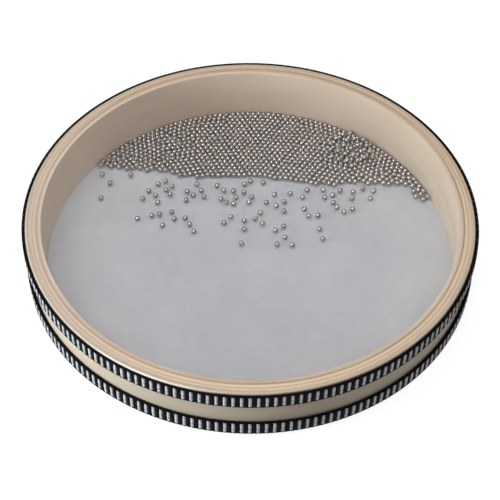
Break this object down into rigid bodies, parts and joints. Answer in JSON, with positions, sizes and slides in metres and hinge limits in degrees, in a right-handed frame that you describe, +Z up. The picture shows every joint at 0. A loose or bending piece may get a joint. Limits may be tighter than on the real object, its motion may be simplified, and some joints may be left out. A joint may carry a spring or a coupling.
{
  "type": "ocean drum",
  "caption": "Shallow round drum with a plywood hoop, a skin head below, a clear film head above, two ribbed braids and loose steel balls that roll inside with a surf-like hiss.",
  "frame": {"origin": "centre of the underside of the lower head, on the surface the drum stands on", "axes": "+Z up along the drum's axis; +Y towards the side that the balls have rolled to"},
  "size_m": [0.3612, 0.3612, 0.0494],
  "materials": {
    "long_grain_birch": "smooth, clear lacquer",
    "cross_grain_birch": "end grain, clear lacquer",
    "drum_skin": "matt, faintly mottled",
    "clear_film": "clear, glossy",
    "white_thread": "lustrous wound thread",
    "black_thread": "lustrous wound thread",
    "polished_steel": "polished"
  },
  "bodies": {
    "drum": {"outer_face_ply": "long_grain_birch", "outer_cross_ply": "cross_grain_birch", "outer_core_ply": "long_grain_birch", "middle_cross_ply": "cross_grain_birch", "inner_core_ply": "long_grain_birch", "inner_cross_ply": "cross_grain_birch", "inner_face_ply": "long_grain_birch", "lower_head": "drum_skin", "upper_head": "clear_film", "upper_braid_tape": "black_thread", "upper_braid_top_cord": "black_thread", "upper_braid_bottom_cord": "black_thread", "upper_braid_white_ribs": "white_thread", "upper_braid_black_ribs": "black_thread", "lower_braid_tape": "black_thread", "lower_braid_top_cord": "black_thread", "lower_braid_bottom_cord": "black_thread", "lower_braid_white_ribs": "white_thread", "lower_braid_black_ribs": "black_thread"},
    "ball_heap": {"heap_balls": "polished_steel", "piled_balls": "polished_steel"},
    "loose_balls_1": {"loose_balls_1": "polished_steel"},
    "loose_balls_2": {"loose_balls_2": "polished_steel"},
    "loose_balls_3": {"loose_balls_3": "polished_steel"},
    "loose_balls_4": {"loose_balls_4": "polished_steel"},
    "loose_balls_5": {"loose_balls_5": "polished_steel"},
    "loose_balls_6": {"loose_balls_6": "polished_steel"},
    "loose_balls_7": {"loose_balls_7": "polished_steel"},
    "loose_balls_8": {"loose_balls_8": "polished_steel"},
    "loose_balls_9": {"loose_balls_9": "polished_steel"},
    "loose_balls_10": {"loose_balls_10": "polished_steel"}
  },
  "joints": [
    {"name": "heap_swirl", "type": "hinge", "parent": "drum", "child": "ball_heap", "pos_m": [0, 0, 0.003], "axis": [0, 0, 1], "continuous": true},
    {"name": "loose_balls_1_roll", "type": "slide", "parent": "ball_heap", "child": "loose_balls_1", "axis": [0, -1, 0], "range_m": [-0.008, 0.1425]},
    {"name": "loose_balls_2_roll", "type": "slide", "parent": "ball_heap", "child": "loose_balls_2", "axis": [0, -1, 0], "range_m": [-0.004, 0.1555]},
    {"name": "loose_balls_3_roll", "type": "slide", "parent": "ball_heap", "child": "loose_balls_3", "axis": [0, -1, 0], "range_m": [-0.009, 0.163]},
    {"name": "loose_balls_4_roll", "type": "slide", "parent": "ball_heap", "child": "loose_balls_4", "axis": [0, -1, 0], "range_m": [-0.0045, 0.169]},
    {"name": "loose_balls_5_roll", "type": "slide", "parent": "ball_heap", "child": "loose_balls_5", "axis": [0, -1, 0], "range_m": [-0.0075, 0.1865]},
    {"name": "loose_balls_6_roll", "type": "slide", "parent": "ball_heap", "child": "loose_balls_6", "axis": [0, -1, 0], "range_m": [-0.0035, 0.1665]},
    {"name": "loose_balls_7_roll", "type": "slide", "parent": "ball_heap", "child": "loose_balls_7", "axis": [0, -1, 0], "range_m": [-0.0125, 0.1645]},
    {"name": "loose_balls_8_roll", "type": "slide", "parent": "ball_heap", "child": "loose_balls_8", "axis": [0, -1, 0], "range_m": [-0.0045, 0.166]},
    {"name": "loose_balls_9_roll", "type": "slide", "parent": "ball_heap", "child": "loose_balls_9", "axis": [0, -1, 0], "range_m": [-0.0055, 0.19]},
    {"name": "loose_balls_10_roll", "type": "slide", "parent": "ball_heap", "child": "loose_balls_10", "axis": [0, -1, 0], "range_m": [-0.004, 0.1935]}
  ]
}
